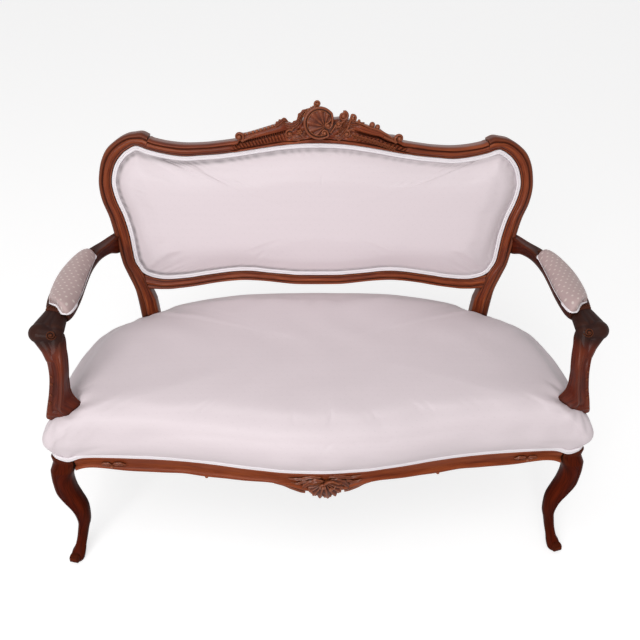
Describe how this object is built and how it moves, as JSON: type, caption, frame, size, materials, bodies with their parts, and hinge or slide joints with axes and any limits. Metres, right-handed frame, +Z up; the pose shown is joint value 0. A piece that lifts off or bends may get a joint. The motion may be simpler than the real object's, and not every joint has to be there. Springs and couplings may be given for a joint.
{
  "type": "rococo settee",
  "caption": "Small rococo settee with a carved show-wood frame, a shaped upholstered back, a serpentine sprung seat, open padded arms and cabriole front legs.",
  "frame": {"origin": "on the floor, under the middle of the settee's length and depth", "axes": "+Z up, +X along the settee's length towards its right end as seen from in front, -Y towards its front"},
  "size_m": [1.3588, 0.7141, 1.0019],
  "materials": {
    "carved_walnut": "satin polish, carved",
    "beech": "planed, unfinished",
    "pale_satin": "satin weave with small woven dots",
    "cord_cloth": "plain piping cord cover",
    "jute_webbing": "coarse jute weave",
    "hessian_canvas": "open hessian weave",
    "black_cambric": "thin matt cloth",
    "spring_steel": "bare drawn wire"
  },
  "bodies": {
    "root": {"arm_left": "carved_walnut", "arm_pad_left": "pale_satin", "arm_pad_right": "pale_satin", "arm_piping_left": "cord_cloth", "arm_piping_right": "cord_cloth", "arm_right": "carved_walnut", "arm_support_left": "carved_walnut", "arm_support_right": "carved_walnut", "back_cushion": "pale_satin", "back_piping": "cord_cloth", "back_post_left": "carved_walnut", "back_post_right": "carved_walnut", "back_webbing": "jute_webbing", "corner_block_front_left": "beech", "corner_block_front_right": "beech", "corner_block_rear_left": "beech", "corner_block_rear_right": "beech", "crest_cartouche": "carved_walnut", "crest_dowel_left": "beech", "crest_dowel_right": "beech", "crest_rail": "carved_walnut", "dust_cover": "black_cambric", "front_leg_left": "carved_walnut", "front_leg_right": "carved_walnut", "front_rail": "carved_walnut", "front_shell": "carved_walnut", "lower_back_rail": "carved_walnut", "outside_back_cover": "pale_satin", "rear_rail": "beech", "seat_cushion": "pale_satin", "seat_piping": "cord_cloth", "seat_spring_01": "spring_steel", "seat_spring_02": "spring_steel", "seat_spring_03": "spring_steel", "seat_spring_04": "spring_steel", "seat_spring_05": "spring_steel", "seat_spring_06": "spring_steel", "seat_spring_07": "spring_steel", "seat_spring_08": "spring_steel", "seat_spring_09": "spring_steel", "seat_spring_10": "spring_steel", "seat_webbing": "jute_webbing", "side_rail_left": "carved_walnut", "side_rail_right": "carved_walnut", "spring_canvas": "hessian_canvas"}
  },
  "joints": []
}
